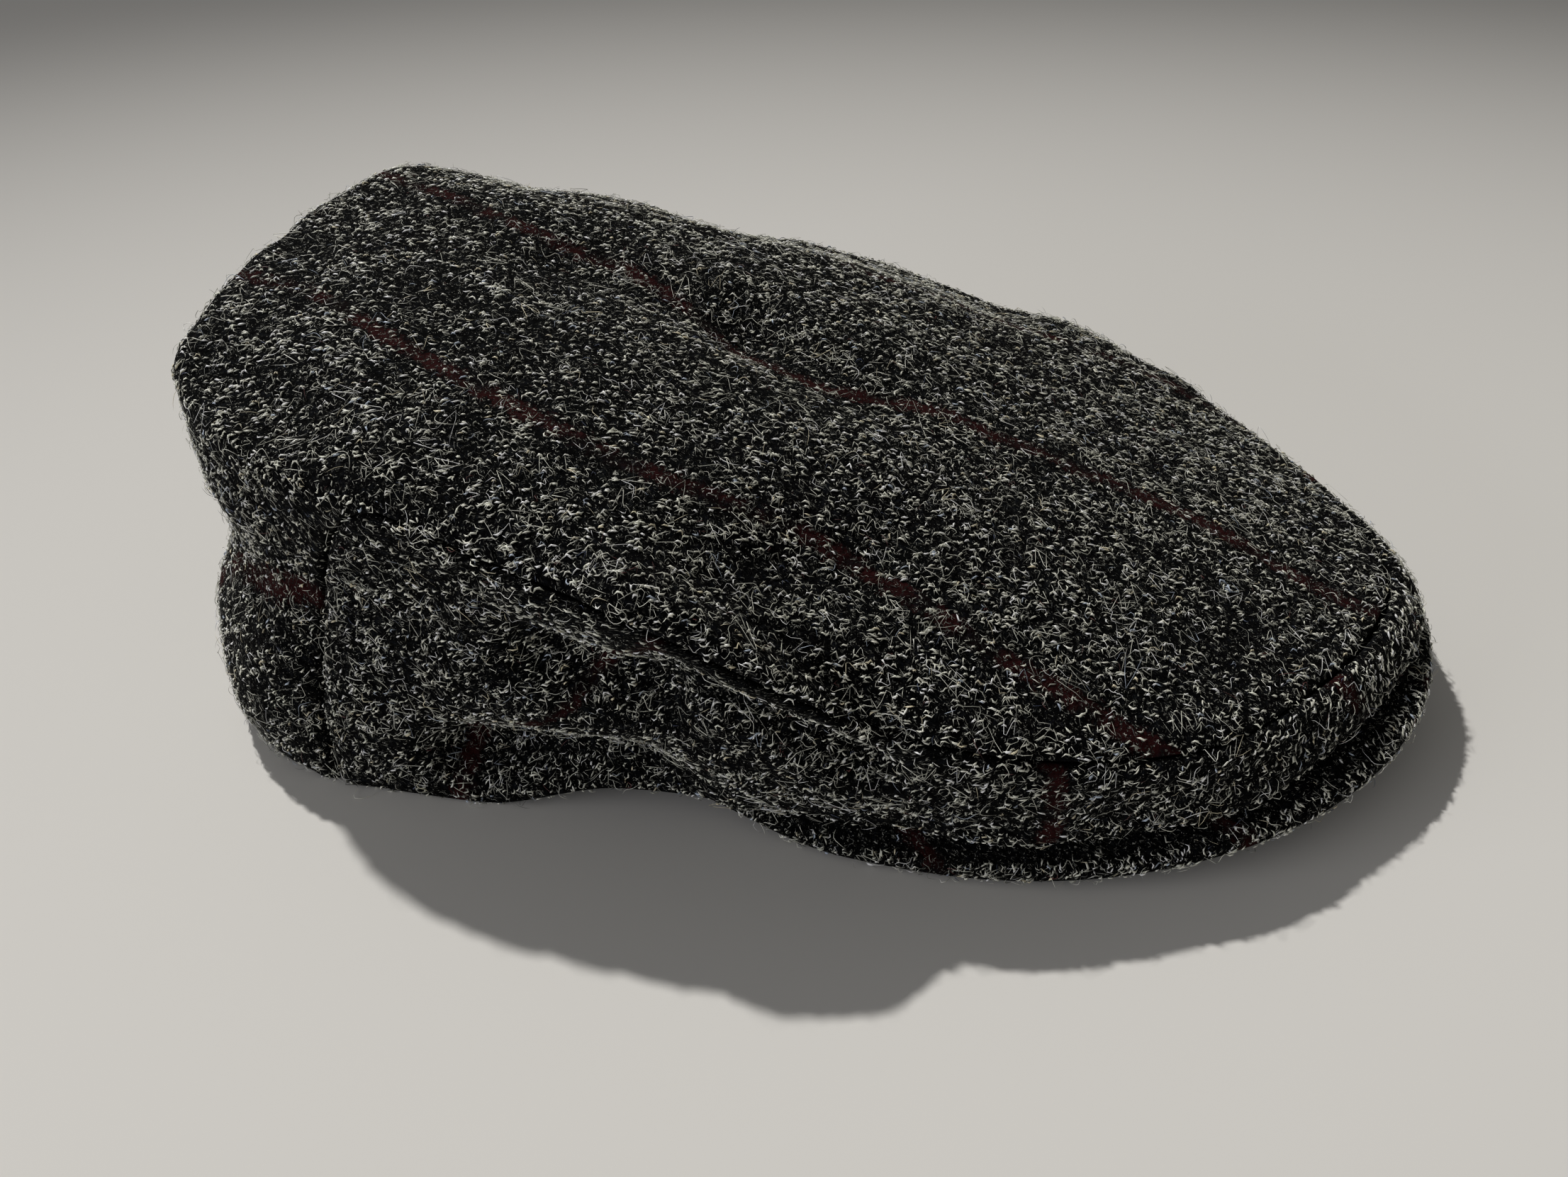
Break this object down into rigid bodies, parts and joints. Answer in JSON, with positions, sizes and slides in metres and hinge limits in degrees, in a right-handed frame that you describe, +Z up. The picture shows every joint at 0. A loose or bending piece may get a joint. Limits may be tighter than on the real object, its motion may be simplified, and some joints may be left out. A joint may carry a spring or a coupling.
{
  "type": "flat cap",
  "caption": "Flat cap of woven tweed: a low crown that runs down at the back, side panels that meet at the front, and a short stiff peak under their edge.",
  "frame": {"origin": "on the surface that the cap rests on, under the middle of its bounding box", "axes": "+X to the front, where the peak is, +Y to the wearer's left, +Z up through the crown"},
  "size_m": [0.279, 0.1808, 0.0869],
  "materials": {
    "charcoal_tweed": "matte woven wool tweed, charcoal with pale flecks and a dark red overcheck line",
    "peak_tweed": "matte woven wool tweed drawn over a stiff board"
  },
  "bodies": {
    "root": {"crown_top": "charcoal_tweed", "side_panel_right": "charcoal_tweed", "side_panel_left": "charcoal_tweed", "peak": "peak_tweed"}
  },
  "joints": []
}
